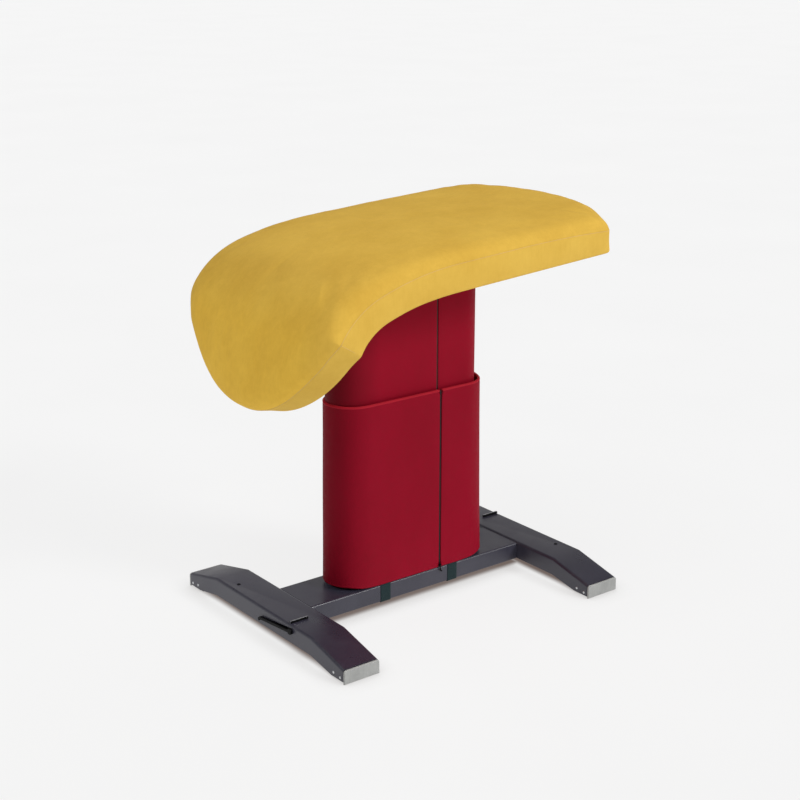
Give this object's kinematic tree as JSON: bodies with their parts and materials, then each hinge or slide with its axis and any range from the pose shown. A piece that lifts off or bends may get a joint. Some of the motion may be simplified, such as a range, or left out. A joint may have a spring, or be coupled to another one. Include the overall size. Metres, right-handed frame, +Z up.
{
  "type": "gymnastics vaulting table",
  "caption": "Vaulting table: a padded top that bends over into a rounded front flap, on a sleeved telescopic column and an H-shaped steel base with fold-down transport rollers.",
  "frame": {"origin": "on the floor, under the middle of the table's whole length and width", "axes": "+Z up, +X towards the landing side (the high back edge), -X towards the run-up and the flap, +Y across the table"},
  "size_m": [1.2886, 0.91, 1.2914],
  "materials": {
    "cover": "matte",
    "sleeve_cloth": "matte",
    "zip": "matte",
    "webbing": "matte",
    "frame_paint": "satin",
    "cap_plastic": "matte",
    "rubber": "matte",
    "zinc": "satin",
    "bright_steel": "polished",
    "black_paint": "satin",
    "guide_plastic": "satin",
    "shell_wood": "satin",
    "roller_plastic": "matte"
  },
  "bodies": {
    "base": {"outer_post_front": "frame_paint", "guide_collar_front": "guide_plastic", "outer_post_rear": "frame_paint", "guide_collar_rear": "guide_plastic", "gas_spring_foot": "zinc", "gas_spring_cylinder": "black_paint", "lower_sleeve": "sleeve_cloth", "lower_zip": "zip", "front_foot_beam": "frame_paint", "end_cap_front_left": "cap_plastic", "rubber_foot_front_left": "rubber", "end_cap_front_right": "cap_plastic", "rubber_foot_front_right": "rubber", "roller_bracket_front": "frame_paint", "rear_foot_beam": "frame_paint", "end_cap_rear_left": "cap_plastic", "rubber_foot_rear_left": "rubber", "end_cap_rear_right": "cap_plastic", "rubber_foot_rear_right": "rubber", "roller_bracket_rear": "frame_paint", "centre_beam": "frame_paint", "post_base_plate": "frame_paint", "base_bolt_front_left": "zinc", "base_bolt_front_right": "zinc", "base_bolt_rear_left": "zinc", "base_bolt_rear_right": "zinc", "strap_front": "webbing", "strap_rear": "webbing"},
    "head": {"table_pad": "cover", "table_shell": "shell_wood", "head_plate": "frame_paint", "front_packer": "rubber", "rear_packer": "rubber", "shell_bolt_front_left": "zinc", "shell_bolt_front_right": "zinc", "shell_bolt_rear_left": "zinc", "shell_bolt_rear_right": "zinc", "inner_post_front": "bright_steel", "inner_post_rear": "bright_steel", "slide_block_front": "guide_plastic", "slide_block_rear": "guide_plastic", "gas_spring_rod": "bright_steel", "rod_nut_lower": "zinc", "rod_nut_upper": "zinc", "lever_bracket": "frame_paint", "lever_pivot_pin": "zinc", "upper_sleeve": "sleeve_cloth", "upper_zip": "zip"},
    "release_handle": {"release_lever": "zinc", "lever_grip": "rubber"},
    "valve": {"valve_pin": "zinc"},
    "slider": {"zip_slider": "zip"},
    "front_transport": {"transport_lever_front": "black_paint", "roller_crank_front": "zinc", "roller_axle_front": "zinc"},
    "rear_transport": {"transport_lever_rear": "black_paint", "roller_crank_rear": "zinc", "roller_axle_rear": "zinc"},
    "front_roller": {"roller_front": "roller_plastic"},
    "rear_roller": {"roller_rear": "roller_plastic"}
  },
  "joints": [
    {"name": "height_slide", "type": "slide", "parent": "base", "child": "head", "axis": [0, 0, 1], "range_m": [-0.25, 0.1]},
    {"name": "release_hinge", "type": "hinge", "parent": "head", "child": "release_handle", "pos_m": [-0.0076, 0.025, 1.0704], "axis": [1, 0, 0], "range_deg": [0, 6], "stiffness_Nm_per_rad": 5},
    {"name": "valve_slide", "type": "slide", "parent": "head", "child": "valve", "axis": [0, 0, 1], "range_m": [-0.003, 0]},
    {"name": "zip_slide", "type": "slide", "parent": "base", "child": "slider", "axis": [0, 0, 1], "range_m": [0, 0.6]},
    {"name": "front_transport_hinge", "type": "hinge", "parent": "base", "child": "front_transport", "pos_m": [-0.5076, -0.172, 0.069], "axis": [1, 0, 0], "range_deg": [0, 70]},
    {"name": "rear_transport_hinge", "type": "hinge", "parent": "base", "child": "rear_transport", "pos_m": [0.4924, 0.172, 0.069], "axis": [-1, 0, 0], "range_deg": [0, 70]},
    {"name": "front_roller_spin", "type": "hinge", "parent": "front_transport", "child": "front_roller", "pos_m": [-0.5344, -0.22674, 0.03989], "axis": [1, 0, 0], "continuous": true},
    {"name": "rear_roller_spin", "type": "hinge", "parent": "rear_transport", "child": "rear_roller", "pos_m": [0.5192, 0.22674, 0.03989], "axis": [1, 0, 0], "continuous": true}
  ],
  "couplings": [
    {"joint": "valve_slide", "follows": "release_hinge", "m_per_rad": -0.025}
  ]
}
